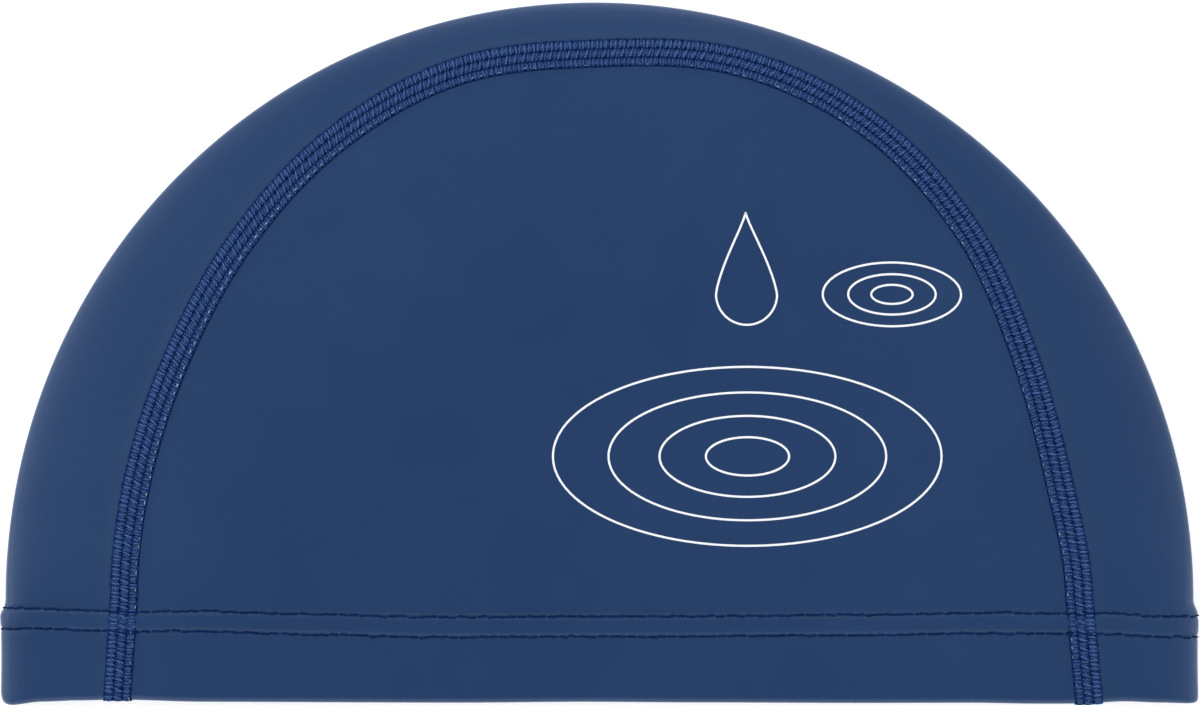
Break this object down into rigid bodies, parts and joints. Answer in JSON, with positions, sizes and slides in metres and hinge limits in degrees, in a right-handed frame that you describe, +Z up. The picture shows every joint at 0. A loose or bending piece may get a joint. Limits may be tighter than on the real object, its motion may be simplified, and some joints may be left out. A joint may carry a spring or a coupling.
{
  "type": "swim cap",
  "caption": "Soft swim cap of coated stretch cloth, lying flat on its side: half-round side panels, a folded crown strip, flatlock seams and a turned-in hem round the mouth.",
  "frame": {"origin": "middle of the flat cap's outline, on the surface that it lies on", "axes": "+X along the mouth, +Y from the mouth to the crown, +Z up out of the upper side panel"},
  "size_m": [0.2602, 0.1524, 0.0128],
  "materials": {
    "coated_cloth": "matt navy blue polyurethane coating on a stretch knit",
    "seam_thread": "blue textured polyester thread",
    "print": "thin matt white screen print"
  },
  "bodies": {
    "root": {"side_panel_upper": "coated_cloth", "side_panel_lower": "coated_cloth", "crown_strip": "coated_cloth", "seam_upper": "seam_thread", "seam_lower": "seam_thread"}
  },
  "joints": []
}
